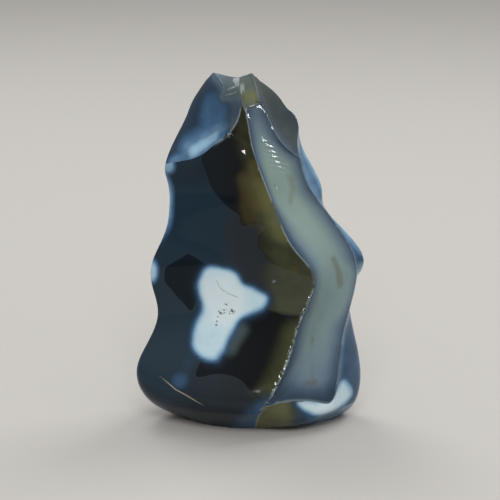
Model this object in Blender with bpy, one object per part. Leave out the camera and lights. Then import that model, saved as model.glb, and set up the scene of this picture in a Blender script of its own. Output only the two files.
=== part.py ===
"""Flame agate: one polished free-form stone, 100 mm tall, standing on a small ground flat.

The skin hangs on six ridges that run from the flat up to the crest. Stations number the
points of each ridge from the flat (first) to the crest (last), and a ring of skin joins the
points of one station. Between two ridges lies a face, made of strips that sink or swell.
X runs to the right, Y to the back and Z up. The origin is under the middle of the stone.
"""
import bpy

MM = 0.001

# The stations of every ridge, from the flat to the crest
STATIONS = (
    "flat", "underside", "skirt", "low", "waist", "elbow", "bump",
    "flank", "middle", "neck", "rim", "scoop", "shoulder", "crest",
)

# Left edge, as far left as the stone reaches
LEFT_EDGE = [
    (-20, 2, 0), (-28, -1, 5), (-32, -4, 13), (-30, -2.5, 21.5), (-26, -0.5, 31.5),
    (-28, -1, 42.5), (-25.5, 0, 51), (-23.3, 0.5, 56.5), (-22.5, 1.2, 62.5), (-22.8, 1.5, 68.5),
    (-23.5, 1, 74.5), (-18.8, 1.5, 85), (-15.7, 2, 92), (-12.2, 2, 97.5),
]

# Front ridge, the sharp line between the dark face and the long flute
FRONT_RIDGE = [
    (-4, -8.5, 0), (-0.5, -15.5, 6), (4.5, -18, 10.5), (10.5, -16.5, 22.5), (14, -15, 34),
    (17.8, -13.5, 44.5), (13.7, -13, 51.5), (9.6, -12.5, 57.7), (6.5, -12, 65.5), (4, -11, 71.7),
    (1, -10, 80), (-0.5, -9, 87.5), (-1, -8, 91.5), (-1.5, -1, 99.1),
]

# Right ridge, the far side of the flute
RIGHT_RIDGE = [
    (19.5, -4, 0), (23, -9, 5), (23.5, -9.5, 9), (25.5, -6.5, 20.5), (27, -3, 29),
    (29.5, -1, 39), (29.5, 0, 48), (24.3, -0.6, 57), (19.7, -1.3, 63.5), (16, -3, 69.5),
    (13.5, -5, 77.5), (8, -6.5, 83), (3.5, -6.5, 92.5), (0.8, -0.5, 99.9),
]

# Far edge, which turns the right side to the back and carries the bump
FAR_EDGE = [
    (26, 3.5, 0), (29.5, 3, 3.5), (31.5, 4, 9.5), (31, 5, 17), (28.4, 5.5, 28.5),
    (28.5, 8, 37), (31.9, 3, 47.5), (21.7, 3.5, 60), (20, 4, 67.5), (15, 4, 77.5),
    (13.5, 3.5, 84.5), (10.5, 3, 89.5), (7, 3, 94), (3.3, 2, 97),
]

# Back ridge
BACK_RIDGE = [
    (4, 13, 0), (5, 16, 4), (7, 17.8, 11), (10, 17.5, 21), (10, 17, 32),
    (6, 16.5, 43), (2, 15.5, 52), (0.5, 14.5, 58.5), (1.5, 13, 65), (3, 12, 72),
    (2.5, 11, 80), (-0.5, 9, 87.5), (-2.5, 7, 93), (-3.5, 3.5, 97.5),
]

# Back left ridge
BACK_LEFT_RIDGE = [
    (-11, 11.5, 0), (-17, 13.5, 4.5), (-20, 13.5, 12), (-19, 12, 21), (-16, 10.5, 31.5),
    (-14, 10, 42.5), (-14.5, 9.5, 51.5), (-15.3, 9, 57.5), (-15.8, 8.5, 64), (-15.2, 8, 70.5),
    (-13.7, 7, 77.5), (-11.5, 6, 86), (-9.5, 5, 92.5), (-8, 3, 97.5),
]

# How far the middle of each face stands out (or sinks in, below zero) at each station
DARK_FACE = [2, 3, 3, 0.5, -1.5, -1.5, -1.5, -1.2, -1, -1, 0, -1.5, 0, 0]
FLUTE = [0.5, 1, 0.5, -3, -3, -3, -3, -3, -3, -2.5, -2, -1.2, 0, 0]
LOBE = [1, 1.2, 1.5, 1.2, 0.5, 0, -0.5, -0.5, -0.5, -0.5, -0.5, -0.8, -0.8, 0]
BACK_RIGHT = [1.5, 2, 1.5, 0, -2, -3, -3.5, -3, -3, -2.5, -2, -1, -0.5, 0]
BACK_MIDDLE = [1, 1.5, 1, -1, -2.5, -3, -2.5, -2.5, -2.5, -3, -2.5, -1.5, -0.5, 0]
BACK_LEFT = [1, 1.5, 1.5, 0, -1.5, -1.5, -1.5, -1.5, -1.5, -1.5, -1.5, -1, -0.5, 0]

# Each face: the ridge that starts it, how many strips it has, and how it swells
FACES = [
    (LEFT_EDGE, 4, DARK_FACE),
    (FRONT_RIDGE, 3, FLUTE),
    (RIGHT_RIDGE, 2, LOBE),
    (FAR_EDGE, 3, BACK_RIGHT),
    (BACK_RIDGE, 2, BACK_MIDDLE),
    (BACK_LEFT_RIDGE, 2, BACK_LEFT),
]

# Places of the ridges, and of a few strips between them, counted round a ring
LEFT, SCOOP_LEFT, SCOOP_MIDDLE, SCOOP_RIGHT = 0, 1, 2, 3
FRONT, SLIVER, FLUTE_MIDDLE = 4, 5, 6
RIGHT, FAR, BACK, BACK_LEFT_SIDE = 7, 9, 12, 14

# Points that no face gives: the scooped hollow's rim, the tip and the sliver under the ridge
SPECIAL = {
    ("rim", SCOOP_LEFT): (-17.5, -4, 76.5),
    ("rim", SCOOP_MIDDLE): (-12, -7, 79.5),
    ("rim", SCOOP_RIGHT): (-6, -9, 85),
    ("scoop", SCOOP_RIGHT): (-3, -8.5, 89.5),
    ("shoulder", SCOOP_LEFT): (-7.5, -3.5, 93.5),
    ("shoulder", SCOOP_MIDDLE): (-4.5, -5, 94.5),
    ("shoulder", SCOOP_RIGHT): (-2.5, -7, 94.5),
    ("shoulder", SLIVER): (0.5, -8, 92.2),
    ("shoulder", FLUTE_MIDDLE): (2, -7.5, 92.7),
    ("crest", SCOOP_LEFT): (-10, 0.5, 100),
    ("crest", SCOOP_MIDDLE): (-5.2, 0, 98.7),
    ("crest", SCOOP_RIGHT): (-3, -1, 98.8),
    ("skirt", SLIVER): (7, -17.5, 10.5),
    ("underside", SLIVER): (2.5, -15.5, 6.5),
    ("underside", FLUTE_MIDDLE): (13, -14, 4),
    ("flat", SLIVER): (1.5, -8.7, 0),
    ("flat", FLUTE_MIDDLE): (12, -8, 0),
}

# Sharp edges: a ridge between two stations, and how sharp it is from 0 to 1
SHARP_RIDGES = [
    (FRONT, "flat", "scoop", 1.0),
    (FRONT, "scoop", "shoulder", 0.6),
    (RIGHT, "skirt", "shoulder", 1.0),
    (SLIVER, "flat", "skirt", 0.7),
    (SCOOP_RIGHT, "rim", "shoulder", 1.0),
    (SCOOP_LEFT, "shoulder", "crest", 0.6),
    (FAR, "waist", "scoop", 0.6),
    (BACK, "skirt", "shoulder", 0.8),
    (BACK_LEFT_SIDE, "low", "scoop", 0.6),
    (LEFT, "skirt", "scoop", 0.2),
]

# Sharp edges that run along a ring between two places
SHARP_RINGS = [
    ("skirt", SLIVER, RIGHT, 1.0),
    ("rim", LEFT, SCOOP_LEFT, 0.2),
    ("rim", SCOOP_LEFT, SCOOP_MIDDLE, 0.45),
    ("rim", SCOOP_MIDDLE, SCOOP_RIGHT, 1.0),
    ("rim", RIGHT, FAR, 0.6),
    ("shoulder", FRONT, RIGHT, 0.5),
]

# The flat meets the underside in a crisp edge, the crest is a softer one
FLAT_SHARPNESS = 1.0
CREST_SHARPNESS = 0.5

SMOOTHING = 2
FITTING_ROUNDS = 8
FITTING_STEP = 0.8

STONE_COLOUR = (0.035, 0.055, 0.075, 1.0)
STONE_ROUGHNESS = 0.08
STONE_IOR = 1.54


def clear_scene():
    for thing in list(bpy.data.objects):
        bpy.data.objects.remove(thing, do_unlink=True)


def face_points(start, end, strips, swell):
    """Points from one ridge up to, not including, the next, at one station."""
    dx = end[0] - start[0]
    dy = end[1] - start[1]
    length = (dx * dx + dy * dy) ** 0.5
    points = []
    for strip in range(strips):
        share = strip / strips
        out = 4 * share * (1 - share) * swell / length
        points.append((
            start[0] + dx * share + dy * out,
            start[1] + dy * share - dx * out,
            start[2] + (end[2] - start[2]) * share,
        ))
    return points


def ring(station):
    """All points of the skin at one station, counted round from the left edge."""
    points = []
    for face, (ridge, strips, swells) in enumerate(FACES):
        next_ridge = FACES[(face + 1) % len(FACES)][0]
        points += face_points(ridge[station], next_ridge[station], strips, swells[station])
    for (name, place), point in SPECIAL.items():
        if name == STATIONS[station]:
            points[place] = point
    return points


def build_cage(targets, around):
    """Rings of quads, closed by the flat below and by the crest above."""
    rings = len(targets) // around
    faces = [tuple(reversed(range(around)))]
    for low in range(rings - 1):
        for place in range(around):
            after = (place + 1) % around
            faces.append((
                low * around + place,
                low * around + after,
                (low + 1) * around + after,
                (low + 1) * around + place,
            ))
    faces.append(tuple(range((rings - 1) * around, rings * around)))
    mesh = bpy.data.meshes.new("flame_agate")
    mesh.from_pydata([[c * MM for c in point] for point in targets], [], faces)
    mesh.update()
    return mesh


def sharpen(mesh, around):
    """Mark the ridges that the smoothing keeps sharp."""
    wanted = {}
    crest = (len(STATIONS) - 1) * around
    for place in range(around):
        after = (place + 1) % around
        wanted[frozenset((place, after))] = FLAT_SHARPNESS
        wanted[frozenset((crest + place, crest + after))] = CREST_SHARPNESS
    for place, first, last, sharpness in SHARP_RIDGES:
        for station in range(STATIONS.index(first), STATIONS.index(last)):
            low = station * around + place
            wanted[frozenset((low, low + around))] = sharpness
    for name, first, last, sharpness in SHARP_RINGS:
        base = STATIONS.index(name) * around
        for place in range(first, last):
            wanted[frozenset((base + place, base + place + 1))] = sharpness
    crease = mesh.attributes.new("crease_edge", "FLOAT", "EDGE")
    for edge in mesh.edges:
        crease.data[edge.index].value = wanted.get(frozenset(edge.vertices), 0.0)


def fit_skin(stone, targets):
    """Move the cage until the smoothed skin passes through the points of the ridges."""
    for _ in range(FITTING_ROUNDS):
        graph = bpy.context.evaluated_depsgraph_get()
        skin = stone.evaluated_get(graph).data
        gaps = []
        for corner, target in zip(skin.vertices, targets):
            gaps.append([t * MM - c for t, c in zip(target, corner.co)])
        for corner, gap in zip(stone.data.vertices, gaps):
            corner.co = [c + g * FITTING_STEP for c, g in zip(corner.co, gap)]
        stone.data.update()


def stone_material():
    material = bpy.data.materials.new("polished agate")
    material.use_nodes = True
    shader = material.node_tree.nodes["Principled BSDF"]
    shader.inputs["Base Color"].default_value = STONE_COLOUR
    shader.inputs["Roughness"].default_value = STONE_ROUGHNESS
    shader.inputs["IOR"].default_value = STONE_IOR
    return material


def build_stone():
    rings = [ring(station) for station in range(len(STATIONS))]
    around = len(rings[0])
    targets = [point for one_ring in rings for point in one_ring]
    mesh = build_cage(targets, around)
    sharpen(mesh, around)
    mesh.shade_smooth()
    mesh.materials.append(stone_material())
    stone = bpy.data.objects.new("flame_agate", mesh)
    bpy.context.scene.collection.objects.link(stone)
    smooth = stone.modifiers.new("polish", "SUBSURF")
    smooth.levels = SMOOTHING
    smooth.render_levels = SMOOTHING
    fit_skin(stone, targets)
    return stone


clear_scene()
build_stone()
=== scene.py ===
"""Looks of the flame agate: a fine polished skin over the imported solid, its colours and the studio.

Places on the stone are in millimetres, x to the right, y to the back and z up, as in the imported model.
"""

import heapq
import math

import bmesh
import bpy
import numpy as np
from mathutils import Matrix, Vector, noise
from mathutils.kdtree import KDTree


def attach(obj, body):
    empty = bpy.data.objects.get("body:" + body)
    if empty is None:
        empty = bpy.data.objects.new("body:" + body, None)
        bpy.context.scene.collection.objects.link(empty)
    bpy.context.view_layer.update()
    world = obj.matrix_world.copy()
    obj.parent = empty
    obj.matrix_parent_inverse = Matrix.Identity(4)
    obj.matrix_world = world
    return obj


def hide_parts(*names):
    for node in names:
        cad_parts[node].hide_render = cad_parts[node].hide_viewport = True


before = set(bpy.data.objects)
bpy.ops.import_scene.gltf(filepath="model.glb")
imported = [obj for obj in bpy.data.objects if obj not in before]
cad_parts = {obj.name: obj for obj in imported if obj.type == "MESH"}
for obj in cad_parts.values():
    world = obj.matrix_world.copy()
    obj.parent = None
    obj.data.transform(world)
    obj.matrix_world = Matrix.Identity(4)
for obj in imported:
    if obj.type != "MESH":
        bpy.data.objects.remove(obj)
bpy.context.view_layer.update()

# Without a fixed seed, the vector noise differs from run to run
NOISE_SEED = 1
noise.seed_set(NOISE_SEED)

MM = 0.001

# Corners where the ridges of the stone meet, or that a ridge passes through
CORNERS = {
    "left horn": (-10, 0.5, 100),
    "dip": (-3, -1, 98.8),
    "right horn": (0.8, -0.5, 99.9),
    "crest right": (3.3, 2, 97),
    "crest back": (-3.5, 3.5, 97.5),
    "crest back left": (-8, 3, 97.5),
    "crest left": (-12.2, 2, 97.5),
    "hollow top": (-2.5, -7, 94.5),
    "hollow shoulder": (-7.5, -3.5, 93.5),
    "hollow right": (-6, -9, 85),
    "hollow middle": (-12, -7, 79.5),
    "hollow left": (-17.5, -4, 76.5),
    "left point": (-23.5, 1, 74.5),
    "left waist": (-26, -0.5, 31.5),
    "left skirt": (-32, -4, 13),
    "left flat": (-20, 2, 0),
    "front top": (-1, -8, 91.5),
    "front elbow": (17.8, -13.5, 44.5),
    "front foot": (4.5, -18, 10.5),
    "front flat": (-4, -8.5, 0),
    "sliver top": (7, -17.5, 10.5),
    "sliver middle": (2.5, -15.5, 6.5),
    "sliver flat": (1.5, -8.7, 0),
    "tip foot": (3.5, -6.5, 92.5),
    "right rim": (13.5, -5, 77.5),
    "right elbow": (29.5, -1, 39),
    "right foot": (23.5, -9.5, 9),
    "right flat": (19.5, -4, 0),
    "far rim": (13.5, 3.5, 84.5),
    "far bump": (31.9, 3, 47.5),
    "far skirt": (31.5, 4, 9.5),
    "far flat": (26, 3.5, 0),
    "back skirt": (7, 17.8, 11),
    "back middle": (0.5, 14.5, 58.5),
    "back flat": (4, 13, 0),
    "back left skirt": (-20, 13.5, 12),
    "back left middle": (-15.3, 9, 57.5),
    "back left flat": (-11, 11.5, 0),
}

# Each ridge runs from corner to corner
RIDGES = {
    "left": ("crest left", "left point", "left waist", "left skirt", "left flat"),
    "hollow": ("left point", "hollow left", "hollow middle", "hollow right", "hollow top", "dip"),
    "facet": ("left horn", "hollow shoulder", "hollow top"),
    "front": ("hollow top", "front top", "front elbow", "front foot"),
    "foot": ("front foot", "front flat"),
    "hem": ("front foot", "sliver top", "right foot"),
    "hem end": ("right foot", "far skirt"),
    "sliver": ("sliver top", "sliver middle", "sliver flat"),
    "tip": ("front top", "tip foot"),
    "right horn": ("right horn", "tip foot"),
    "right": ("tip foot", "right rim", "right elbow", "right foot"),
    "rim": ("right rim", "far rim"),
    "far": ("crest right", "far rim", "far bump", "far skirt", "far flat"),
    "back": ("crest back", "back middle", "back skirt", "back flat"),
    "back left": ("crest back left", "back left middle", "back left skirt", "back left flat"),
    "crest": (
        "left horn", "dip", "right horn", "crest right", "crest back",
        "crest back left", "crest left", "left horn",
    ),
    "flat": (
        "left flat", "front flat", "sliver flat", "right flat", "far flat",
        "back flat", "back left flat", "left flat",
    ),
}

# How sharp each ridge is, from 0 to 1
SHARPNESS = {
    "left": 0.3, "hollow": 0.6, "facet": 0.5, "front": 0.7, "foot": 0.6, "hem": 0.6,
    "hem end": 0.3, "sliver": 0.4, "tip": 0.4, "right horn": 0.3, "right": 0.6, "rim": 0.4,
    "far": 0.45, "back": 0.6, "back left": 0.4, "crest": 0.4, "flat": 0.6,
}

# A place inside each face of the stone
FACES = {
    "dark": (-7, -5.5, 34),
    "hollow": (-12, -1, 91),
    "facet": (-5, -3.5, 96.5),
    "tip": (0, -6.6, 94.5),
    "flute": (14, -8, 55),
    "upper": (8.3, 0, 89),
    "lobe": (28.4, 0.3, 26.3),
    "hem": (14, -14.3, 6),
    "sliver": (2, -16, 6.5),
    "back right": (18, 10, 50),
    "back middle": (-8, 12, 40),
    "back left": (-22, 6, 40),
    "top": (-4, 1.5, 99),
    "base": (2, 2, 0),
}

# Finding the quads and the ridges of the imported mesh; the flat angle is what a flat edge counts as
WELD = 0.005
JOIN_ANGLE = 20
FLAT_ANGLE = 0.03

# Smoothing the skin, in rounds that each take it most of the way back to the solid's corners
SKIN_LEVELS = 2
FITTING_ROUNDS = 3
FITTING_STEP = 0.8

# Rounding of the ridges
RIDGE_ANGLE = 14
EDGE_ROUNDING = 0.16
EDGE_SEGMENTS = 2


def cage_of_solid(node):
    """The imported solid's skin, welded, with its triangles joined to quads again."""
    cage = bmesh.new()
    cage.from_mesh(node.data)
    bmesh.ops.remove_doubles(cage, verts=cage.verts, dist=WELD * MM)
    bmesh.ops.join_triangles(
        cage,
        faces=cage.faces,
        angle_face_threshold=math.radians(JOIN_ANGLE),
        angle_shape_threshold=math.pi,
    )
    cage.verts.ensure_lookup_table()
    cage.verts.index_update()
    cage.edges.index_update()
    cage.faces.index_update()
    return cage


def nearest(places, point):
    """The number of the place that lies nearest to a point in millimetres."""
    tree = KDTree(len(places))
    for number, place in enumerate(places):
        tree.insert(place, number)
    tree.balance()
    return tree.find(Vector(point) * MM)[1]


def sharpest_way(cage, start, end):
    """The corners passed on the way from one corner to another that keeps to the sharp edges."""
    cost = {start: 0.0}
    came = {}
    queue = [(0.0, start)]
    while queue:
        so_far, here = heapq.heappop(queue)
        if here == end:
            break
        if so_far > cost[here]:
            continue
        vert = cage.verts[here]
        for edge in vert.link_edges:
            there = edge.other_vert(vert).index
            total = so_far + edge.calc_length() / (FLAT_ANGLE + edge.calc_face_angle(0.0))
            if total < cost.get(there, math.inf):
                cost[there] = total
                came[there] = here
                heapq.heappush(queue, (total, there))
    way = [end]
    while way[-1] != start:
        way.append(came[way[-1]])
    return way[::-1]


def find_ridges(cage):
    """For each ridge, the numbers of the cage's corners along it."""
    places = [vert.co for vert in cage.verts]
    corner = {name: nearest(places, point) for name, point in CORNERS.items()}
    ridges = {}
    for name, stops in RIDGES.items():
        ridges[name] = [corner[stops[0]]]
        for start, end in zip(stops, stops[1:]):
            ridges[name] += sharpest_way(cage, corner[start], corner[end])[1:]
    return ridges


def spread_faces(cage, ridges):
    """The number of the stone's face on each quad, spread from one quad up to the ridges."""
    walls = {frozenset(pair) for way in ridges.values() for pair in zip(way, way[1:])}
    centres = [face.calc_center_median() for face in cage.faces]
    layer = cage.faces.layers.int.new("face")
    cage.faces.ensure_lookup_table()
    for face in cage.faces:
        face[layer] = -1
    for number, seed in enumerate(FACES.values()):
        open_faces = [cage.faces[nearest(centres, seed)]]
        while open_faces:
            face = open_faces.pop()
            if face[layer] >= 0:
                continue
            face[layer] = number
            for edge in face.edges:
                if frozenset(vert.index for vert in edge.verts) not in walls:
                    open_faces += [other for other in edge.link_faces if other is not face]


def skin_of_cage(cage, ridges):
    """The stone's piece: the cage with its ridges creased, smoothed onto the solid's own corners."""
    crease = cage.edges.layers.float.new("crease_edge")
    cage.verts.ensure_lookup_table()
    for name, way in ridges.items():
        for start, end in zip(way, way[1:]):
            edge = cage.edges.get((cage.verts[start], cage.verts[end]))
            edge[crease] = max(edge[crease], SHARPNESS[name])
    mesh = bpy.data.meshes.new("polished_stone")
    cage.to_mesh(mesh)
    mesh.shade_smooth()
    stone = bpy.data.objects.new("polished_stone", mesh)
    bpy.context.scene.collection.objects.link(stone)
    smooth = stone.modifiers.new("skin", "SUBSURF")
    smooth.levels = SKIN_LEVELS
    smooth.render_levels = SKIN_LEVELS
    targets = [vert.co.copy() for vert in cage.verts]
    for _ in range(FITTING_ROUNDS):
        graph = bpy.context.evaluated_depsgraph_get()
        skin = stone.evaluated_get(graph).data
        gaps = [target - corner.co for target, corner in zip(targets, skin.vertices)]
        for corner, gap in zip(mesh.vertices, gaps):
            corner.co += gap * FITTING_STEP
        mesh.update()
    return stone


def apply_modifiers(thing):
    """The thing with its modifiers worked into its mesh."""
    graph = bpy.context.evaluated_depsgraph_get()
    finished = bpy.data.meshes.new_from_object(thing.evaluated_get(graph), depsgraph=graph)
    thing.modifiers.clear()
    thing.data = finished
    return thing


def ease(value, start, full):
    """0 at start and 1 at full, whichever of the two is larger, with a smooth step between them."""
    share = np.clip((value - start) / (full - start), 0, 1)
    return share * share * (3 - 2 * share)


def gap_to_line(points, line):
    """Distance of each point to a line of straight stretches, or to a line of one place."""
    line = np.array(line, float)
    ends = line[1:] if len(line) > 1 else line
    least = np.full(len(points), np.inf)
    for start, end in zip(line, ends):
        along = end - start
        share = np.clip((points - start) @ along / max(along @ along, 1e-9), 0, 1)
        least = np.minimum(least, np.linalg.norm(points - start - share[:, None] * along, axis=1))
    return least


def stroke(points, line, width, soft):
    """1 up to that width from a line, fading to 0 over soft past it."""
    return ease(gap_to_line(points, line), width + soft, width)


def strokes(points, marks):
    """The strongest of several strokes, each given as line, half width, softness and strength."""
    most = np.zeros(len(points))
    for line, width, soft, strength in marks:
        most = np.maximum(most, strength * stroke(points, line, width, soft))
    return most


def rounded(outline, steps=6):
    """A closed smooth outline through a few points, as a Catmull-Rom curve."""
    outline = np.array(outline, float)
    count = len(outline)
    curve = []
    for number in range(count):
        before, start, end, after = (outline[(number + k) % count] for k in (-1, 0, 1, 2))
        for step in range(steps):
            t = step / steps
            curve.append(0.5 * (
                2 * start + (end - before) * t
                + (2 * before - 5 * start + 4 * end - after) * t ** 2
                + (3 * start - before - 3 * end + after) * t ** 3
            ))
    return np.array(curve)


def inside(points, outline, smooth=True):
    """How deep each point lies inside an outline drawn over x and z, negative outside it."""
    curve = rounded(outline) if smooth else np.array(outline, float)
    closed = np.vstack([curve, curve[:1]])
    flat = points[:, [0, 2]]
    crossings = np.zeros(len(flat), int)
    for start, end in zip(closed, closed[1:]):
        spans = (start[1] > flat[:, 1]) != (end[1] > flat[:, 1])
        rise = end[1] - start[1] if end[1] != start[1] else 1.0
        reach = start[0] + (flat[:, 1] - start[1]) * (end[0] - start[0]) / rise
        crossings += spans & (flat[:, 0] < reach)
    gap = gap_to_line(flat, closed)
    return np.where(crossings % 2 == 1, gap, -gap)


def patch(points, outline, inner, outer):
    """1 inside an outline over x and z, fading from inner inside it to outer outside it."""
    return ease(inside(points, outline), -outer, inner)


# Markings of the dark face, drawn over x and z: a white cloud, then the outlines of painted dark
# reflections
WHITE_CLOUD = [
    (-8.4, 46.3), (-4, 45.3), (-1.8, 42.6), (1.8, 41.2), (5.4, 38.8), (3, 34.8), (-2.4, 31.6),
    (-4.6, 28), (-6.6, 24), (-9.6, 20.6), (-13.4, 20.8), (-15.9, 24), (-15.6, 29.5), (-14.2, 34.5),
    (-14.5, 40.5), (-12, 45.4),
]
# Outlines of painted dark reflections: inside them the painted grey reflection is left out and the navy
# fades, so the face shows darker
DARK_REFLECTION_TOP = [
    (-13.5, 77.5), (-11.6, 70.7), (-9.7, 66.5), (-6.6, 64.1), (-3.3, 62.2), (-1.9, 58.9),
    (1, 59.5), (6, 61), (6, 80), (0, 96), (-6, 88), (-11, 81),
]
LENS = [
    (3.3, 57.5), (2.2, 54.1), (3.6, 50.7), (6.9, 48.1), (11, 46.8), (15.1, 45.8),
    (17, 47.5), (12.6, 54), (8, 60.5),
]
DIAMOND = [(-23.5, 45.5), (-17.6, 49.3), (-10.3, 45.2), (-14, 39.2), (-16.9, 32.2), (-23.6, 40.6)]
DARK_REFLECTION_LOW = [
    (-7, 35.5), (5.5, 35.2), (9.7, 34.4), (15, 33.8), (11, 22), (4, 11.7), (-2.8, 16.7),
    (-8.3, 17.5), (-15.3, 16), (-13, 22),
]

# The whitest place of the cloud, in millimetres
CLOUD_CORE = [(-7.4, -5.3, 36.5)]

# A grey shade along the cloud's tail, measured without y
CLOUD_SHADE = [(-3.4, 0, 29.5), (-5.6, 0, 25)]
WITHOUT_Y = [1, 0, 1]

# A second white place on the left ridge, measured over a shortened z so that it comes out tall
LEFT_WHITE = [(-28, -1.4, 27.2)]
SHORT_Z = [1, 1, 0.62]

# Milky places and rusty streaks of the dark face: line, half width, softness and strength
DARK_MILK = [
    ([(-23.4, -0.2, 74.2)], 1.4, 3.4, 0.56),
    ([(-19.6, -10.5, 15)], 0.8, 4.5, 0.23),
    ([(-19.6, -10.5, 15), (-15.4, -7.3, 22.8)], 1.0, 3, 0.14),
]
DARK_STREAKS = [
    ([(1.3, -9.4, 76), (1.4, -9, 70.5), (2.6, -9.2, 65)], 0.7, 2.6, 0.36),
    ([(-1.6, -7.6, 71), (-0.8, -8, 65.5), (0.3, -8.4, 61.5)], 0.9, 3, 0.3),
    ([(12.2, -11.4, 46.9)], 0.4, 2, 0.22),
]


def dark_milk_and_reflections(points, gap):
    """The white cloud, a second one on the left ridge, and pale blue along the ridges, which along the left
    ridge is a painted reflection.
    """
    z = points[:, 2]
    return np.maximum.reduce([
        patch(points, WHITE_CLOUD, 1.9, 1.5) * (0.8 + 0.2 * stroke(points, CLOUD_CORE, 4, 6)),
        0.2 * patch(points, WHITE_CLOUD, 0.5, 3.4),
        0.7 * stroke(points * SHORT_Z, LEFT_WHITE, 1.2, 2.8),
        strokes(points, DARK_MILK),
        # Painted reflections along the left ridge, high up and low down, laid into the milk mask
        0.56 * ease(gap["left"], 3, -0.4) * ease(z, 46, 62),
        0.34 * ease(gap["left"], 2.6, -0.4) * ease(z, 30, 10),
        0.24 * ease(gap["foot"], 6, 0),
    ])


def dark_warm(points, gap):
    """Olive light along the front ridge, in the lens and in the band below it."""
    x, z = points[:, 0], points[:, 2]
    front = gap["front"]
    reach = 11.5 - 3.5 * ease(z, 71, 76)
    return np.maximum.reduce([
        0.84 * ease(front, reach, 1.2) * ease(z, 47, 58) * (1 - 0.55 * ease(z, 70, 78)),
        0.52 * patch(points, LENS, 0.6, 0.6) * (0.62 + 0.38 * ease(x, 3, 9)),
        0.5 * ease(z, 33.5, 36) * ease(z, 51, 47) * ease(x, -1, 9),
        0.6 * ease(front, 9, 0) * ease(z, 38, 30) * ease(z, 10, 14),
    ])


def paint_dark(points, gap):
    """The dark face: ink and navy under a painted grey reflection with painted dark reflections in it,
    olive where light comes through, a white cloud.
    """
    x, z = points[:, 0], points[:, 2]
    smooth_parts = [inside(points, outline) for outline in (DARK_REFLECTION_TOP, LENS, DARK_REFLECTION_LOW)]
    low_middle = ease(x, -22, -14) * ease(z, 24, 14)
    return {
        "milk": dark_milk_and_reflections(points, gap),
        "navy": np.maximum(0.9 * ease(x, 0, -11) * (1 - 0.6 * low_middle), 0.2),
        "warm": dark_warm(points, gap),
        "rust": strokes(points, DARK_STREAKS),
        # A painted grey reflection, weaker on the upper left; clear marks the painted dark reflections that
        # leave it out
        "painted_reflection": 1 - 0.6 * ease(x, -3, -10) * ease(z, 36, 56),
        "clear": np.maximum.reduce([inside(points, DIAMOND, smooth=False)] + smooth_parts),
        "jade": 0.32 * stroke(points * WITHOUT_Y, CLOUD_SHADE, 0.2, 3.6),
        "depth": 0.8,
    }


# The milky glow low in the hollow, its tail to the left and a paler line above it
GLOW = [(-15, -3.6, 78.8), (-12.5, -4, 80.8), (-9.8, -5, 82.6)]
GLOW_TAIL = [(-22, -1, 75.2), (-18.6, -2.4, 76.6), (-15, -3.6, 78.8)]
PALE_LINE = [(-9.4, -1.4, 90.5), (-10, -2.2, 85.5)]
HOLLOW_GLOW = [(GLOW, 0.8, 4.8, 0.58), (GLOW, 2.6, 7, 0.4), (GLOW_TAIL, 0.6, 3.4, 0.42)]


def paint_hollow(points, gap):
    """The hollow at the top left: blue-grey, with a milky glow low in its middle."""
    facet = ease(gap["facet"], 3.4, 0)
    right = ease(points[:, 0], -11, -4)
    milk = np.maximum(0.04 + 0.28 * stroke(points, PALE_LINE, 1.6, 6), strokes(points, HOLLOW_GLOW))
    return {
        "milk": milk * ease(gap["facet"], 0.2, 1.6),
        "navy": 1,
        "painted_reflection": 1,
        "jade": 0.7 + 0.3 * facet,
        "depth": 0.03 + 0.12 * right * (1 - facet) + 0.3 * facet,
        "warm": 0.36 * facet * ease(points[:, 0], -10, -5),
    }


def paint_facet(points, gap):
    """The small sloping facet between the two horns: grey-green, warmer towards the tip."""
    return {
        "jade": 1,
        "depth": 0.33,
        "warm": 0.46 * ease(points[:, 0], -10, -5) + 0.2 * ease(points[:, 0], -7, -1),
    }


# Where the tip glows most, and where it is rusty
TIP_GLOW = [(0, -6.4, 94.8)]
TIP_RUST = [(2.6, -7.1, 93.2)]


def paint_tip(points, gap):
    """The narrow tip above the flute: an olive glow that turns grey-brown at the rim and the sides."""
    glow = stroke(points, TIP_GLOW, 0.8, 3.2)
    return {
        "warm": 0.62 + 0.26 * glow,
        "jade": 0.45 - 0.35 * glow,
        "depth": 0.42,
        "rust": 0.4 * stroke(points, TIP_RUST, 0.6, 1.6),
    }


# Rusty streaks of the flute: line, half width, softness and strength
FLUTE_STREAKS = [
    ([(10.7, -3.9, 71.5), (11.3, -3.6, 68), (11, -4.3, 64.8)], 0.3, 1.2, 0.24),
    ([(23.2, -2.2, 48.2), (24.6, -2.3, 44.7), (25.2, -2.5, 40.4)], 0.3, 1.3, 0.42),
    ([(17.3, -7.6, 25.9), (17.4, -9.1, 19), (17.1, -11.3, 13.8)], 0.1, 0.8, 0.42),
    ([(15.9, -11.9, 14.4), (17.1, -11.4, 14.3), (18.2, -10.7, 14.3)], 0.2, 0.9, 0.55),
]


def paint_flute(points, gap):
    """The long flute: grey-green in its middle, blue and darker towards its ridges and its foot."""
    z = points[:, 2]
    left_reach = 4.4 + 6.6 * ease(z, 68, 54) * ease(z, 40, 50) + 4 * ease(z, 50, 36)
    right_reach = 5.6 - 3.2 * ease(z, 28, 36) * ease(z, 48, 42)
    depth = ease(gap["front"], -1.2, left_reach) * ease(gap["right"], -1.8, right_reach)
    depth *= 0.7 + 0.3 * ease(z, 40, 60) - 0.38 * ease(z, 76, 88)
    depth *= 0.62 + 0.38 * ease(z, 12, 32)
    depth *= ease(gap["hem"], 0.4, 7)
    return {"jade": 1, "depth": depth, "rust": strokes(points, FLUTE_STREAKS)}


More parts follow.
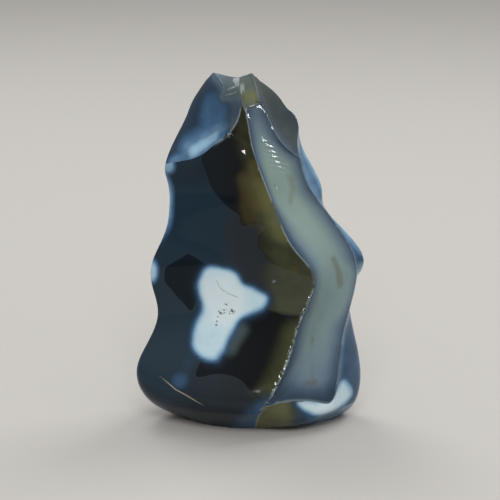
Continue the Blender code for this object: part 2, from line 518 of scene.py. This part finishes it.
def paint_upper(points, gap):
    """The face at the top right: dark grey-green glass, pale blue along its outer ridge."""
    z = points[:, 2]
    right = ease(gap["right"], 5, 0)
    return {
        "jade": 0.45 + 0.35 * right,
        "depth": 0.12 + 0.12 * right,
        "warm": 0.42 + 0.14 * ease(z, 89, 96) - 0.2 * right,
        "navy": 0.4,
        "painted_reflection": 1,
        "milk": 0.2 * ease(gap["far"], 2, 0) + 0.3 * ease(z, 82, 76),
    }


# The white corner low on the right, over x and z
CORNER_WHITE = [(13.9, 9.4), (19.6, 8.9), (24, 10.4), (26.8, 12.8), (28.2, 8), (23.5, 5), (16.8, 7)]


def paint_lobe(points, gap):
    """The right side: pale blue above, dark green below with a blue rim and a white corner."""
    z = points[:, 2]
    far, right = gap["far"], gap["right"]
    upper = ease(z, 42, 50)
    above = 0.34 + 0.16 * ease(far, 2, 0) + 0.08 * ease(z, 55, 70)
    below = 0.25 + 0.44 * ease(far, 4, 0.4) * ease(z, 3, 12) + 0.14 * ease(right, 2.4, 0)
    corner = 0.88 * patch(points, CORNER_WHITE, 1.4, 2.4)
    return {
        "milk": np.maximum.reduce([upper * above, below * (1 - upper), corner]),
        "warm": 0.3 * (1 - upper),
        "navy": 1,
        "painted_reflection": 1,
    }


def paint_hem(points, gap):
    """The foot below the flute: olive on the left, then white, then blue."""
    x = points[:, 0]
    blue = 0.18 * ease(x, 9, 14) + 0.3 * ease(x, 14, 21)
    return {
        "milk": np.maximum(0.95 * patch(points, CORNER_WHITE, 1.0, 2.2), blue),
        "warm": 0.84 * ease(x, 20, 9),
        "navy": ease(x, 8, 15),
        "painted_reflection": 1,
    }


def paint_sliver(points, gap):
    """The narrow face beside the hem: pale blue."""
    return {"milk": 0.3, "navy": 1}


# Markings of the back, over x and z
BACK_CLOUD = [
    (13, 29), (18.5, 27), (23, 21), (24, 13), (21, 6), (15, 4.5), (14.5, 11), (11.5, 17), (10.5, 24),
]
BACK_WHITE = [
    (-10.5, 53), (-6.5, 47), (-3.5, 38), (-1.5, 29), (-4, 21.5), (-9, 20), (-11, 27), (-9, 36), (-11.5, 44),
]


def paint_back_right(points, gap):
    """The right half of the back: grey-green above, olive below, with a white cloud at its foot."""
    z = points[:, 2]
    border = np.minimum(gap["far"], gap["back"])
    low = ease(z, 44, 18)
    return {
        "jade": 1 - low,
        "depth": (0.2 + 0.55 * ease(border, 0, 8)) * (1 - 0.4 * ease(z, 70, 88)),
        "milk": np.maximum(0.85 * patch(points, BACK_CLOUD, 1.4, 2.2), 0.2 * low * ease(border, 3, 0)),
        "warm": 0.52 * low * ease(border, 0, 5),
        "navy": 0.6,
        "painted_reflection": 1,
    }


def paint_back_middle(points, gap):
    """The middle of the back: navy glass with a long white cloud, and painted dark reflections at its foot
    and high up.
    """
    x, z = points[:, 0], points[:, 2]
    border = np.minimum(gap["back"], gap["back left"])
    dark_reflection_foot = 8.5 + 0.05 * (x + 9) ** 2 - z
    dark_reflection_top = 12 - np.abs(z - 0.5 * x - 76)
    return {
        "navy": 0.35 + 0.5 * ease(border, 0, 6),
        "milk": np.maximum(0.85 * patch(points, BACK_WHITE, 1.4, 1.8), 0.2 * ease(border, 2.4, 0)),
        "warm": 0.42 * ease(z, 56, 70) * ease(gap["back"], 7, 0),
        "painted_reflection": 1,
        # Painted dark reflections at the foot and high up, where the painted grey reflection is left out
        "clear": np.maximum(dark_reflection_foot, dark_reflection_top),
    }


def paint_back_left(points, gap):
    """The left half of the back: navy, paler towards the outer ridge and the top."""
    z = points[:, 2]
    return {
        "navy": 1,
        "milk": 0.36 * ease(gap["left"], 4, -0.3) + 0.2 * ease(z, 56, 86),
        "painted_reflection": 0.7,
        "warm": 0.4 * ease(gap["back left"], 6, 0) * ease(z, 44, 22),
    }


def paint_end(points, gap):
    """The crest and the base: plain grey-green."""
    return {"jade": 1, "depth": 0.3, "warm": 0.2}


PAINTERS = {
    "dark": paint_dark, "hollow": paint_hollow, "facet": paint_facet, "tip": paint_tip,
    "flute": paint_flute, "upper": paint_upper, "lobe": paint_lobe, "hem": paint_hem,
    "sliver": paint_sliver, "back right": paint_back_right, "back middle": paint_back_middle,
    "back left": paint_back_left, "top": paint_end, "base": paint_end,
}
# The masks the faces are painted with; painted_reflection is a painted grey reflection, and clear is a
# depth in millimetres inside the crisp edge of a painted dark reflection
DARK_REFLECTION_REACH = 2
PAINTED = {
    "milk": 0, "navy": 0, "warm": 0, "rust": 0, "painted_reflection": 0, "jade": 0, "depth": 0, "clear": -DARK_REFLECTION_REACH,
}

# Small marks of the front, over x and z: a crack, a rough hollow with pits round it, scratches, lone pits
CRACK = [(-25.3, 15.4), (-20.7, 12.3), (-17.9, 11.3), (-12, 8.6)]
ROUGH_SPOT = [(-8.3, 33.2), (-6.6, 33.4), (-4.8, 33.8)]
SCRATCHES = [
    [(-9.3, 42.2), (-8.8, 40.7), (-7.9, 39.6), (-6, 38.6), (-3.4, 37.9)],
    [(-6.2, 96), (-4.4, 96.8), (-3, 97.7)],
    [(-6.6, 94.6), (-4.6, 95.2), (-3.4, 95.9)],
]
PITS = [
    ((-6.6, 35.4), 0.12), ((-9.5, 29.6), 0.16), ((-9.3, 30.6), 0.12), ((-9, 31.8), 0.12),
    ((2.5, 93.2), 0.2), ((1.6, 93.4), 0.12), ((3.2, 92.6), 0.14), ((-16.8, 23.2), 0.08),
    ((-19.4, 20.7), 0.08),
]
GROOVE_DEPTH = 0.12
PIT_DEPTH = 0.35

# These marks lie in front of this y, and the points behind it are moved out of their reach
MARKED_Y = 0
OUT_OF_REACH = 1000

# Hollows the polisher left: middle line, half width and depth of each
DIMPLES = [
    ([(-0.9, -9.3, 80.4), (0.9, -10, 76.8)], 1.8, 0.3),
    ([(7.1, -6.6, 69.8), (7.2, -6.6, 69.2)], 0.9, 0.3),
]

# Fine ripples at the top of the flute, running down to the right
RIPPLE_LINE = [(4.8, -6.4, 80.6), (6.8, -5.6, 76.9), (9.1, -4.6, 74.5)]
RIPPLE_LENGTH = 1.3
RIPPLE_HEIGHT = 0.06
RIPPLE_TILT = 0.35

# The front ridge is chipped below the first height, and fully so from the second
CHIPPED_BELOW = (46, 42)
CHIP_SIZE = 0.75
CHIP_DEPTH = 0.28

# The size and the height of the waves that keep the polished faces from being perfect
WAVES = [(8, 0.06), (2.6, 0.012)]

# The sizes of the noise that breaks up the small marks and the worn ridges' pale lines of wear and painted
# highlight
MARK_GRAIN = 0.6
WEAR_AND_SHEEN_GRAIN = 1.1

# Where the front needs a finer mesh: a line over x and z, the reach round it and the rounds of halving
FINE_ZONES = [
    (ROUGH_SPOT, 2.2, 2),
    (CRACK, 0.9, 2),
    ([(x, z) for x, _, z in RIPPLE_LINE], 3.2, 1),
    ([(-0.9, 80.4), (0.9, 76.8)], 2.1, 1),
    ([(7.1, 69.6)], 1.2, 1),
    ([(2.5, 93.2)], 1.4, 2),
    ([(-6.4, 94.4), (-3.6, 96.6)], 1.8, 2),
    ([(-9.5, 29.2), (-8.8, 32)], 0.8, 2),
    ([(-9.3, 42.2), (-8.2, 39.7), (-3.4, 37.9)], 0.9, 2),
    ([(16.5, 42), (11, 26), (5.5, 12)], 1.2, 1),
]
SETTLING_ROUNDS = 2


def noise_at(points, size):
    """A smooth noise of about -0.5 to 0.5 at each point, with bumps of that size in millimetres."""
    return np.array([noise.noise(Vector(point) / size) for point in points])


def vertex_places(mesh):
    """The corners of the mesh, in millimetres."""
    places = np.empty(len(mesh.vertices) * 3)
    mesh.vertices.foreach_get("co", places)
    return places.reshape(-1, 3) / MM


def vertex_normals(mesh):
    """The direction out of the stone at each corner of the mesh."""
    normals = np.empty(len(mesh.vertices) * 3)
    mesh.vertex_normals.foreach_get("vector", normals)
    return normals.reshape(-1, 3)


def gaps_to_ridges(points, ridge_lines):
    """For each ridge, the distance of every point to it."""
    return {name: gap_to_line(points, line) for name, line in ridge_lines.items()}


def chips(points, gap):
    """How far each point lies in a chip of the lower front ridge, 0 to 1."""
    along = ease(points[:, 2], *CHIPPED_BELOW)
    near = ease(gap["front"], 0.75, 0.25)
    return along * near * ease(noise_at(points, CHIP_SIZE), 0.02, 0.3)


def on_front(points):
    """The points over x and z, with those behind the marked front put far away."""
    flat = points[:, [0, 2]].copy()
    flat[points[:, 1] > MARKED_Y] += OUT_OF_REACH
    return flat


def grooves(points):
    """How far each point lies in a scratch or in the crack, 0 to 1."""
    flat = on_front(points)
    broken = ease(noise_at(points, MARK_GRAIN), -0.35, -0.05)
    depth = stroke(flat, CRACK, 0.04, 0.14)
    for line in SCRATCHES:
        depth = np.maximum(depth, broken * stroke(flat, line, 0.03, 0.14))
    return depth


def pits(points):
    """How far each point lies in a pit, 0 to 1."""
    flat = on_front(points)
    depth = ease(noise_at(points, MARK_GRAIN), -0.02, 0.1) * stroke(flat, ROUGH_SPOT, 0.3, 0.6)
    for centre, radius in PITS:
        depth = np.maximum(depth, stroke(flat, [centre], radius, 0.16))
    return depth


def refine(stone):
    """Halves the edges where small marks are cut, and lets the new corners settle into the curve."""
    fine = bmesh.new()
    fine.from_mesh(stone.data)
    for line, reach, rounds in FINE_ZONES:
        for _ in range(rounds):
            fine.verts.ensure_lookup_table()
            fine.verts.index_update()
            points = np.array([vert.co for vert in fine.verts]) / MM
            near = gap_to_line(on_front(points), line) < reach
            edges = [edge for edge in fine.edges if all(near[vert.index] for vert in edge.verts)]
            made = bmesh.ops.subdivide_edges(fine, edges=edges, cuts=1, use_grid_fill=True)
            inner = [item for item in made["geom_inner"] if isinstance(item, bmesh.types.BMVert)]
            for _ in range(SETTLING_ROUNDS):
                bmesh.ops.smooth_vert(
                    fine, verts=inner, factor=0.5, use_axis_x=True, use_axis_y=True, use_axis_z=True
                )
    fine.to_mesh(stone.data)
    fine.free()


def depth_of_marks(points, gap):
    """How deep the skin is cut at each point, in millimetres."""
    depth = sum(height * noise_at(points, size) for size, height in WAVES)
    ripples = np.cos(2 * math.pi * (points[:, 2] + RIPPLE_TILT * points[:, 0]) / RIPPLE_LENGTH)
    depth += RIPPLE_HEIGHT * ripples * stroke(points, RIPPLE_LINE, 0.3, 2.6)
    for line, reach, deep in DIMPLES:
        share = np.clip(gap_to_line(points, line) / reach, 0, 1)
        depth += deep * (1 - share ** 2) ** 2
    depth += CHIP_DEPTH * chips(points, gap)
    depth += GROOVE_DEPTH * grooves(points) + PIT_DEPTH * pits(points)
    return depth


def carve(stone, ridge_lines):
    """Cuts the waves, dimples, ripples, chips, pits and grooves, and rests the stone on the floor."""
    mesh = stone.data
    points = vertex_places(mesh)
    depth = depth_of_marks(points, gaps_to_ridges(points, ridge_lines))
    points -= vertex_normals(mesh) * depth[:, None]
    points[:, 2] = np.maximum(points[:, 2], 0)
    mesh.vertices.foreach_set("co", (points * MM).ravel())
    mesh.update()


# How strongly each ridge shows as a thin pale line: wear, and a painted highlight along the ridge
RIDGE_WEAR_AND_SHEEN = {
    "front": 0.55, "hollow": 0.55, "facet": 0.3, "right": 0.45, "hem": 0.4, "sliver": 0.4, "back": 0.4,
    "back left": 0.3,
}

# Where some of these lines fade: the axis (0 is x, 2 is z), and where the line starts and is full
RIDGE_WEAR_AND_SHEEN_FADES = [
    ("front", 2, 94, 91),
    ("hollow", 2, 94, 91),
    ("hollow", 0, -11, -7),
    ("facet", 2, 94.5, 97),
]


def worn_ridges_and_sheen(points, gap):
    """The pale lines along the worn ridges, wear and a painted highlight, with a speckle beside the chipped
    one.
    """
    grain = noise_at(points, WEAR_AND_SHEEN_GRAIN)
    lines = {}
    for ridge, strength in RIDGE_WEAR_AND_SHEEN.items():
        lines[ridge] = strength * ease(gap[ridge], 0.26 + 0.12 * grain, 0.04)
    for ridge, axis, start, full in RIDGE_WEAR_AND_SHEEN_FADES:
        lines[ridge] *= ease(points[:, axis], start, full)
    speckle = ease(noise_at(points, MARK_GRAIN), -0.2, 0.15)
    speckle *= ease(gap["front"], 0.75 + 0.8 * grain, 0.1)
    chipped = ease(points[:, 2], *CHIPPED_BELOW)
    return np.maximum.reduce([*lines.values(), 0.75 * speckle * chipped])


def small_marks(points, gap):
    """The masks of marks that keep to their exact places: worn ridges with a painted highlight along them,
    chips, pits and grooves.
    """
    x, z = points[:, 0], points[:, 2]
    crack = stroke(on_front(points), CRACK, 0.04, 0.12) * ease(x, -25.8, -22) * ease(x, -11.6, -16.5)
    cut = grooves(points)
    pale = ease(z, 60, 70)
    dark = np.maximum(pits(points), 0.5 * cut * (1 - pale)) * (1 - crack)
    wear_and_sheen = np.maximum(worn_ridges_and_sheen(points, gap), 0.6 * cut * pale)
    return {"wear_and_sheen": wear_and_sheen, "pit": dark, "vein": crack}


# The size and the amount by which outlines wander, and the size and the amount of the bands' wandering
WANDERS = [(9.0, 1.0), (2.5, 0.15)]
BAND_WAVE = (6, 0.6)


def wander(points):
    """The points moved about a little, so that no outline stays exact."""
    for size, amount in WANDERS:
        moved = [noise.noise_vector(Vector(point) / size) for point in points]
        points = points + np.array(moved) * amount
    return points


def mesh_numbers(collection, field):
    """One whole number from every item of a part of the mesh."""
    values = np.empty(len(collection), int)
    collection.foreach_get(field, values)
    return values


def paint_faces(mesh, points, gap, vertex_of_corner):
    """The masks of the stone's faces, each painted by its own function."""
    wandered = wander(points)
    face_of_polygon = mesh_numbers(mesh.attributes["face"].data, "value")
    face_of_corner = np.repeat(face_of_polygon, mesh_numbers(mesh.polygons, "loop_total"))
    masks = {name: np.full(len(mesh.loops), float(empty)) for name, empty in PAINTED.items()}
    for number, name in enumerate(FACES):
        corners = np.flatnonzero(face_of_corner == number)
        used, place_of = np.unique(vertex_of_corner[corners], return_inverse=True)
        near = {ridge: values[used] for ridge, values in gap.items()}
        for mask, values in PAINTERS[name](wandered[used], near).items():
            masks[mask][corners] = np.broadcast_to(values, len(used))[place_of]
    masks["clear"] = np.clip(masks["clear"], -DARK_REFLECTION_REACH, DARK_REFLECTION_REACH)
    return masks


def paint_stone(stone, ridge_lines):
    """Writes the masks as attributes that stay crisp at the ridges."""
    mesh = stone.data
    points = vertex_places(mesh)
    gap = gaps_to_ridges(points, ridge_lines)
    vertex_of_corner = mesh_numbers(mesh.loops, "vertex_index")
    masks = paint_faces(mesh, points, gap, vertex_of_corner)
    for name, values in small_marks(points, gap).items():
        masks[name] = values[vertex_of_corner]
    size, amount = BAND_WAVE
    band = np.minimum(gap["front"], gap["back"]) + amount * noise_at(points, size)
    masks["band"] = band[vertex_of_corner]
    for name, values in masks.items():
        layer = mesh.attributes.new(name, "FLOAT", "CORNER")
        layer.data.foreach_set("value", values.astype(np.float32))


def srgb(red, green, blue):
    """A colour given as 0 to 255 on a screen, as the shader wants it."""
    linear = []
    for value in (red, green, blue):
        share = value / 255
        linear.append(share / 12.92 if share <= 0.04045 else ((share + 0.055) / 1.055) ** 2.4)
    return (*linear, 1.0)


# Plain colours of the layers
INK = srgb(5, 6, 7)
NAVY = srgb(12, 35, 49)
# The grey of the painted reflection
PAINTED_REFLECTION_GREY = srgb(112, 118, 122)
RUST = srgb(86, 73, 34)
# The pale blue-grey of the worn ridges, which also stands in for a painted highlight along them
WORN_AND_SHEEN = srgb(150, 168, 174)
TAN = srgb(176, 160, 134)
PIT = srgb(44, 34, 26)

# Colours that change with how strong a layer is
WARM = [
    (0.1, srgb(16, 15, 11)),
    (0.35, srgb(38, 39, 25)),
    (0.6, srgb(56, 60, 38)),
    (0.85, srgb(86, 87, 55)),
    (1.0, srgb(100, 98, 64)),
]
JADE = [
    (0.0, srgb(42, 56, 70)),
    (0.2, srgb(66, 82, 98)),
    (0.45, srgb(94, 111, 123)),
    (0.7, srgb(110, 129, 130)),
    (1.0, srgb(127, 146, 141)),
]
MILK = [
    (0.1, srgb(24, 42, 58)),
    (0.35, srgb(58, 88, 118)),
    (0.6, srgb(124, 157, 179)),
    (0.8, srgb(168, 191, 200)),
    (1.0, srgb(190, 203, 208)),
]

# Noise of the material, in waves a metre: soft clouds in the stone and the fine grain of its polish
CLOUD_SCALE = 220
CLOUD_DETAIL = 5.0
GRAIN_SCALE = 1500
GRAIN_DETAIL = 4.0

# How strongly the clouds change each layer, and how strong milk would have to be to show none
CLOUD_IN_JADE = 0.16
CLOUD_IN_WARM = 0.35
CLOUD_IN_MILK = 0.8
MILK_EVEN_AT = 1.15

# Faint bands that follow the long ridges: radians a millimetre and strength
BAND_TURNS = 5.2
BAND_STRENGTH = 0.006

# Half the width of the crisp edge of the painted dark reflections, in millimetres, and the share of navy
# they take away
DARK_REFLECTION_EDGE = 0.12
DARK_REFLECTION_LOSS = 0.7

# How strong a layer has to be before it hides the stone under it
WARM_COVERS = 0.4
MILK_COVERS = 0.3
# How much of the painted reflection's grey lies over the stone
PAINTED_REFLECTION_SHARE = 0.07
# How much of that pale blue-grey of wear and painted highlight the ridge lines take
WORN_AND_SHEEN_SHARE = 0.8

# Roughness of the polish, and what worn ridges, pits and the grain add to it
POLISH = 0.03
WORN_ROUGHNESS = 0.3
PIT_ROUGHNESS = 0.5
GRAIN_ROUGHNESS = 0.05
GRAIN_STRENGTH = 0.25
GRAIN_HEIGHT = 0.01
AGATE_IOR = 1.54
AGATE_SPECULAR = 0.15


class Nodes:
    """Short ways to add and join the nodes of one material."""

    def __init__(self, name):
        self.material = bpy.data.materials.new(name)
        self.material.use_nodes = True
        self.tree = self.material.node_tree
        self.shader = self.tree.nodes["Principled BSDF"]

    def plug(self, socket, value):
        """Feeds a socket with another node's output or with a plain value."""
        if isinstance(value, bpy.types.NodeSocket):
            self.tree.links.new(value, socket)
        else:
            socket.default_value = value

    def mask(self, name):
        """One of the painted masks."""
        node = self.tree.nodes.new("ShaderNodeAttribute")
        node.attribute_name = name
        return node.outputs["Fac"]

    def math(self, operation, *values):
        """The result of a node that works with numbers, by the name of its operation."""
        node = self.tree.nodes.new("ShaderNodeMath")
        node.operation = operation
        for socket, value in zip(node.inputs, values):
            self.plug(socket, value)
        return node.outputs[0]

    def plus(self, first, second):
        """The first number plus the second."""
        return self.math("ADD", first, second)

    def minus(self, first, second):
        """The first number less the second."""
        return self.math("SUBTRACT", first, second)

    def times(self, first, second):
        """The first number times the second."""
        return self.math("MULTIPLY", first, second)

    def mix(self, factor, first, second):
        """The first colour at factor 0, the second at 1."""
        node = self.tree.nodes.new("ShaderNodeMix")
        node.data_type = "RGBA"
        self.plug(node.inputs[0], factor)
        self.plug(node.inputs[6], first)
        self.plug(node.inputs[7], second)
        return node.outputs[2]

    def ramp(self, factor, stops):
        """A colour that runs through the stops, each given as place and colour."""
        node = self.tree.nodes.new("ShaderNodeValToRGB")
        elements = node.color_ramp.elements
        for element, (place, colour) in zip(elements, (stops[0], stops[-1])):
            element.position = place
            element.color = colour
        for place, colour in stops[1:-1]:
            elements.new(place).color = colour
        self.plug(node.inputs[0], factor)
        return node.outputs[0]

    def noise(self, where, scale, detail):
        """A noise from 0 to 1."""
        node = self.tree.nodes.new("ShaderNodeTexNoise")
        self.plug(node.inputs["Vector"], where)
        node.inputs["Scale"].default_value = scale
        node.inputs["Detail"].default_value = detail
        return node.outputs["Fac"]

    def spread(self, value, low, high):
        """0 up to low and 1 from high on, with a smooth step between them."""
        node = self.tree.nodes.new("ShaderNodeMapRange")
        node.interpolation_type = "SMOOTHSTEP"
        self.plug(node.inputs[0], value)
        for socket, amount in zip(node.inputs[1:5], (low, high, 0.0, 1.0)):
            socket.default_value = amount
        return node.outputs[0]


def dark_stone(nodes, warm_colour):
    """The clear stone itself: ink and navy, olive where light comes through, under a painted grey
    reflection that the painted dark reflections leave out.
    """
    # clear marks the painted dark reflections, which take away the painted grey reflection and most of the
    # navy
    clear = nodes.spread(nodes.mask("clear"), -DARK_REFLECTION_EDGE, DARK_REFLECTION_EDGE)
    navy = nodes.times(nodes.mask("navy"), nodes.minus(1.0, nodes.times(clear, DARK_REFLECTION_LOSS)))
    painted_reflection = nodes.times(nodes.mask("painted_reflection"), nodes.minus(1.0, clear))
    colour = nodes.mix(navy, INK, NAVY)
    colour = nodes.mix(nodes.spread(nodes.mask("warm"), 0.0, WARM_COVERS), colour, warm_colour)
    return nodes.mix(nodes.times(painted_reflection, PAINTED_REFLECTION_SHARE), colour, PAINTED_REFLECTION_GREY)


def add_jade(nodes, colour, cloud, warm_colour):
    """Lays the grey-green layer over the colour, with its bands, and olive and rust over that."""
    band = nodes.math("SINE", nodes.times(nodes.mask("band"), BAND_TURNS))
    uneven = nodes.plus(nodes.times(cloud, CLOUD_IN_JADE), nodes.times(band, BAND_STRENGTH))
    depth = nodes.plus(nodes.mask("depth"), uneven)
    colour = nodes.mix(nodes.mask("jade"), colour, nodes.ramp(depth, JADE))
    colour = nodes.mix(nodes.times(nodes.mask("jade"), nodes.mask("warm")), colour, warm_colour)
    return nodes.mix(nodes.mask("rust"), colour, RUST)


def add_milk(nodes, colour, cloud):
    """Lays the milky layer over the colour, cloudy where it is neither thin nor thick."""
    milk = nodes.mask("milk")
    milk_edge = nodes.times(milk, nodes.minus(MILK_EVEN_AT, milk))
    milk = nodes.plus(milk, nodes.times(cloud, nodes.times(milk_edge, CLOUD_IN_MILK)))
    return nodes.mix(nodes.spread(milk, 0.0, MILK_COVERS), colour, nodes.ramp(milk, MILK))


def add_marks(nodes, colour):
    """Lays the worn ridges with their painted highlight, the crack and the pits over the colour."""
    colour = nodes.mix(nodes.times(nodes.mask("wear_and_sheen"), WORN_AND_SHEEN_SHARE), colour, WORN_AND_SHEEN)
    colour = nodes.mix(nodes.mask("vein"), colour, TAN)
    dark_pit = nodes.times(nodes.mask("pit"), nodes.minus(1.0, nodes.mask("vein")))
    return nodes.mix(dark_pit, colour, PIT)


def polish(nodes, grain):
    """Gives the surface its gloss, duller on worn ridges and in pits, with a very fine grain."""
    rough = nodes.plus(nodes.times(nodes.mask("wear_and_sheen"), WORN_ROUGHNESS), nodes.times(grain, GRAIN_ROUGHNESS))
    rough = nodes.plus(rough, nodes.times(nodes.mask("pit"), PIT_ROUGHNESS))
    nodes.plug(nodes.shader.inputs["Roughness"], nodes.plus(rough, POLISH))
    bump = nodes.tree.nodes.new("ShaderNodeBump")
    bump.inputs["Strength"].default_value = GRAIN_STRENGTH
    bump.inputs["Distance"].default_value = GRAIN_HEIGHT * MM
    nodes.plug(bump.inputs["Height"], grain)
    nodes.plug(nodes.shader.inputs["Normal"], bump.outputs[0])
    nodes.shader.inputs["IOR"].default_value = AGATE_IOR
    nodes.shader.inputs["Specular IOR Level"].default_value = AGATE_SPECULAR


def agate():
    """Polished agate: dark and clear at its base, with layers of colour over it by the painted masks."""
    nodes = Nodes("agate_polished")
    where = nodes.tree.nodes.new("ShaderNodeTexCoord").outputs["Object"]
    cloud = nodes.minus(nodes.noise(where, CLOUD_SCALE, CLOUD_DETAIL), 0.5)
    grain = nodes.noise(where, GRAIN_SCALE, GRAIN_DETAIL)
    warm = nodes.plus(nodes.mask("warm"), nodes.times(cloud, CLOUD_IN_WARM))
    warm_colour = nodes.ramp(warm, WARM)
    colour = dark_stone(nodes, warm_colour)
    colour = add_jade(nodes, colour, cloud, warm_colour)
    colour = add_milk(nodes, colour, cloud)
    colour = add_marks(nodes, colour)
    nodes.plug(nodes.shader.inputs["Base Color"], colour)
    polish(nodes, grain)
    return nodes.material


FLOOR_SIZE = 6.0
FLOOR_COLOUR = (0.34, 0.33, 0.315, 1)
FLOOR_ROUGHNESS = 0.8
FLOOR_SPECULAR = 0.2

# The light from all round: its strength level with the floor, its full strength, and how far up
# towards 1, straight overhead, that is reached
SKY_COLOUR = (1, 0.985, 0.965, 1)
SKY_LOW = 0.3
SKY_HIGH = 0.85
SKY_FULL_AT = 0.9

# The camera looks down on the stone from in front: sensor and lens in millimetres, the angle in
# degrees, the distance and the place it looks at in metres
SENSOR_WIDTH = 36
CAMERA_LENS = 133.5
CAMERA_ELEVATION = 15
CAMERA_DISTANCE = 0.52
CAMERA_AIM = (0, 0, 0.0499)

# Azimuth (0 in front, 90 on the right), elevation, distance, size and power of each softbox
LAMPS = {
    "key": (0, 42, 0.9, (0.45, 0.4), 5.3),
    "right softbox": (125, 50, 0.9, (0.45, 0.45), 4.0),
    "left softbox": (-150, 50, 0.9, (0.45, 0.45), 4.0),
}

# Small bright lamps that only show as glints: the spot they are turned to, then as above
GLINT_LAMPS = {
    "front glint": ((-0.5, -9.6, 78.5), -10, -17, 0.12, (0.014, 0.022), 0.07),
    "right glint": ((6.8, -5.6, 76.9), 47, 8, 0.12, (0.06, 0.018), 0.2),
}
STONE_MIDDLE = (0, 0, 50)


def build_camera():
    """The camera of the main view."""
    camera = bpy.data.objects.new("camera", bpy.data.cameras.new("camera"))
    bpy.context.scene.collection.objects.link(camera)
    camera.data.sensor_width = SENSOR_WIDTH
    camera.data.lens = CAMERA_LENS
    elevation = math.radians(CAMERA_ELEVATION)
    back = Vector((0, -math.cos(elevation), math.sin(elevation))) * CAMERA_DISTANCE
    camera.location = Vector(CAMERA_AIM) + back
    camera.rotation_euler = (math.radians(90) - elevation, 0, 0)
    bpy.context.scene.camera = camera


def area_light(name, target, azimuth, elevation, distance, size, power):
    """A softbox that looks at the target from azimuth (0 in front, 90 on the right) and elevation."""
    data = bpy.data.lights.new(name, "AREA")
    data.shape = "RECTANGLE"
    data.size, data.size_y = size
    data.energy = power
    lamp = bpy.data.objects.new(name, data)
    around = math.radians(azimuth)
    up = math.radians(elevation)
    out = Vector((math.sin(around) * math.cos(up), -math.cos(around) * math.cos(up), math.sin(up)))
    lamp.location = out * distance + Vector(target) * MM
    lamp.rotation_euler = out.to_track_quat("Z", "Y").to_euler()
    lamp.visible_camera = False
    bpy.context.scene.collection.objects.link(lamp)
    return lamp


def build_floor():
    """A plain floor far wider than the view."""
    bpy.ops.mesh.primitive_plane_add(size=FLOOR_SIZE)
    floor = bpy.context.active_object
    floor.name = "floor"
    paint = bpy.data.materials.new("floor")
    paint.use_nodes = True
    shader = paint.node_tree.nodes["Principled BSDF"]
    shader.inputs["Base Color"].default_value = FLOOR_COLOUR
    shader.inputs["Roughness"].default_value = FLOOR_ROUGHNESS
    shader.inputs["Specular IOR Level"].default_value = FLOOR_SPECULAR
    floor.data.materials.append(paint)


def build_sky():
    """A plain grey surrounding, brighter overhead than at the height of the floor's edge."""
    world = bpy.data.worlds.new("studio")
    world.use_nodes = True
    tree = world.node_tree
    direction = tree.nodes.new("ShaderNodeTexCoord")
    parts = tree.nodes.new("ShaderNodeSeparateXYZ")
    strength = tree.nodes.new("ShaderNodeMapRange")
    tree.links.new(direction.outputs["Generated"], parts.inputs[0])
    tree.links.new(parts.outputs["Z"], strength.inputs[0])
    for socket, value in zip(strength.inputs[1:5], (0.0, SKY_FULL_AT, SKY_LOW, SKY_HIGH)):
        socket.default_value = value
    tree.links.new(strength.outputs[0], tree.nodes["Background"].inputs["Strength"])
    tree.nodes["Background"].inputs["Color"].default_value = SKY_COLOUR
    bpy.context.scene.world = world


def build_studio():
    """The floor, the light from all round, the softboxes and the glint lamps."""
    build_floor()
    build_sky()
    for name, placed in LAMPS.items():
        area_light(name, STONE_MIDDLE, *placed)
    for name, placed in GLINT_LAMPS.items():
        area_light(name, *placed).visible_diffuse = False
    bpy.context.scene.view_settings.view_transform = "Standard"


def round_ridges(stone):
    """Gives the sharp ridges a narrow rounding."""
    edges = stone.modifiers.new("edges", "BEVEL")
    edges.width = EDGE_ROUNDING * MM
    edges.segments = EDGE_SEGMENTS
    edges.limit_method = "ANGLE"
    edges.angle_limit = math.radians(RIDGE_ANGLE)
    apply_modifiers(stone)


def keep_faces_flat(stone):
    """Lets the wide faces rule the shading, so that the narrow roundings stay crisp."""
    stone.modifiers.new("shading", "WEIGHTED_NORMAL")
    apply_modifiers(stone)


def build_stone():
    """The stone as one finished piece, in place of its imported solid."""
    cage = cage_of_solid(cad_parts["flame_agate"])
    ridges = find_ridges(cage)
    spread_faces(cage, ridges)
    ridge_lines = {name: [cage.verts[corner].co / MM for corner in way] for name, way in ridges.items()}
    stone = apply_modifiers(skin_of_cage(cage, ridges))
    round_ridges(stone)
    refine(stone)
    carve(stone, ridge_lines)
    keep_faces_flat(stone)
    paint_stone(stone, ridge_lines)
    stone.data.materials.clear()
    stone.data.materials.append(agate())
    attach(stone, "root")
    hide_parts("flame_agate")


build_stone()
build_camera()
build_studio()
